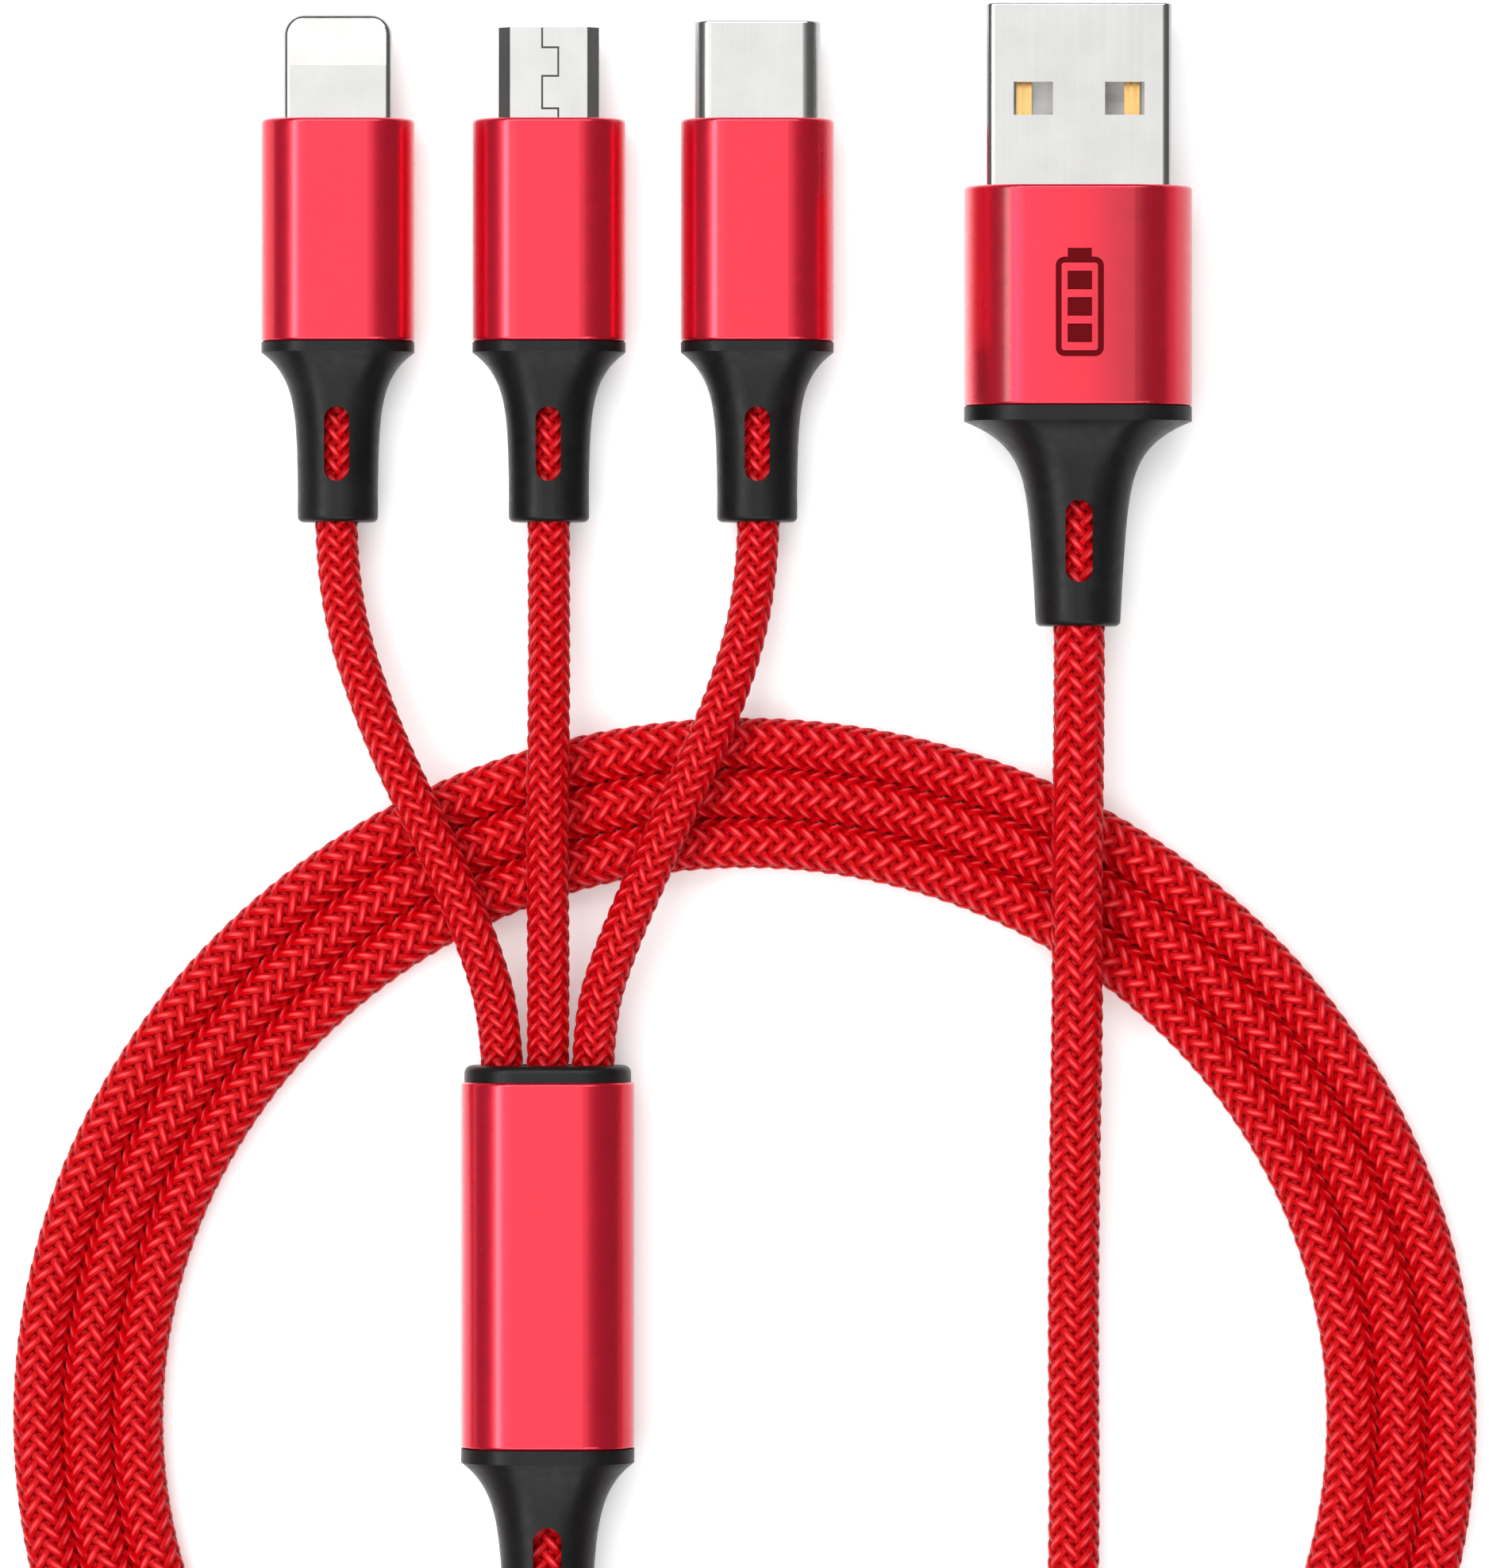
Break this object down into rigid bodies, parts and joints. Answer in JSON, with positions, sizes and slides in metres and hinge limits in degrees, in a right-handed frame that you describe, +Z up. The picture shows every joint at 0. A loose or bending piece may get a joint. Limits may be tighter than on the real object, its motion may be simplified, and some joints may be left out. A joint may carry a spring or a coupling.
{
  "type": "charging cable",
  "caption": "Braided charging cable: a rectangular host plug, a coiled main cord, and a splitter with branches to blade, micro and oval plugs.",
  "frame": {"origin": "middle of the plugs and the splitter, on the surface that the cable lies on", "axes": "+Y from the splitter to the plugs' tips, +Z up from the surface, +X towards the host plug"},
  "size_m": [0.0952, 0.1373, 0.008],
  "materials": {
    "red_anodised": "satin red anodised, fine bead-blasted grain",
    "black_rubber": "satin moulded rubber",
    "plated_steel": "nickel plated, smooth",
    "spring_steel": "stamped spring sheet",
    "white_plastic": "satin moulded",
    "black_plastic": "satin moulded",
    "gold_plate": "gold plated",
    "wire_insulation": "smooth",
    "circuit_board": "solder mask",
    "crimp_metal": "tin plated",
    "mould_plastic": "translucent natural moulding",
    "red_braid": "tight braided sleeve"
  },
  "bodies": {
    "root": {"blade_board": "circuit_board", "blade_boot": "black_rubber", "blade_casing": "red_anodised", "blade_contacts": "gold_plate", "blade_crimp": "crimp_metal", "blade_frame": "plated_steel", "blade_inner_mould": "mould_plastic", "blade_insert": "white_plastic", "blade_wires": "wire_insulation", "branch_cord_blade": "red_braid", "branch_cord_micro": "red_braid", "branch_cord_type_c": "red_braid", "host_boot": "black_rubber", "host_casing": "red_anodised", "host_contacts": "gold_plate", "host_crimp": "crimp_metal", "host_inner_mould": "mould_plastic", "host_shell": "plated_steel", "host_tongue": "white_plastic", "host_wires": "wire_insulation", "main_cord_coil": "red_braid", "main_cord_host_end": "red_braid", "main_cord_splitter_end": "red_braid", "micro_boot": "black_rubber", "micro_casing": "red_anodised", "micro_contacts": "gold_plate", "micro_crimp": "crimp_metal", "micro_inner_mould": "mould_plastic", "micro_insulator": "black_plastic", "micro_shell": "plated_steel", "micro_wires": "wire_insulation", "splitter_board": "circuit_board", "splitter_boot": "black_rubber", "splitter_cap": "black_plastic", "splitter_casing": "red_anodised", "splitter_crimp": "crimp_metal", "splitter_inner_mould": "mould_plastic", "splitter_wires": "wire_insulation", "type_c_board": "circuit_board", "type_c_boot": "black_rubber", "type_c_casing": "red_anodised", "type_c_contacts_lower": "gold_plate", "type_c_contacts_upper": "gold_plate", "type_c_crimp": "crimp_metal", "type_c_housing": "black_plastic", "type_c_inner_mould": "mould_plastic", "type_c_shell": "plated_steel", "type_c_wires": "wire_insulation"},
    "micro_latch_left": {"micro_latch_left": "spring_steel"},
    "micro_latch_right": {"micro_latch_right": "spring_steel"},
    "type_c_latch_left": {"type_c_latch_left": "spring_steel"},
    "type_c_latch_right": {"type_c_latch_right": "spring_steel"}
  },
  "joints": [
    {"name": "micro_latch_left_press", "type": "hinge", "parent": "root", "child": "micro_latch_left", "pos_m": [-0.014, 0.04421, 0.00264], "axis": [1, 0, 0], "range_deg": [0, 4], "stiffness_Nm_per_rad": 0.02},
    {"name": "micro_latch_right_press", "type": "hinge", "parent": "root", "child": "micro_latch_right", "pos_m": [-0.009, 0.04421, 0.00264], "axis": [1, 0, 0], "range_deg": [0, 4], "stiffness_Nm_per_rad": 0.02},
    {"name": "type_c_latch_left_spread", "type": "hinge", "parent": "root", "child": "type_c_latch_left", "pos_m": [-0.0013, 0.04623, 0.0031], "axis": [0, 0, 1], "range_deg": [0, 2], "stiffness_Nm_per_rad": 0.02},
    {"name": "type_c_latch_right_spread", "type": "hinge", "parent": "root", "child": "type_c_latch_right", "pos_m": [0.0053, 0.04623, 0.0031], "axis": [0, 0, -1], "range_deg": [0, 2], "stiffness_Nm_per_rad": 0.02}
  ]
}
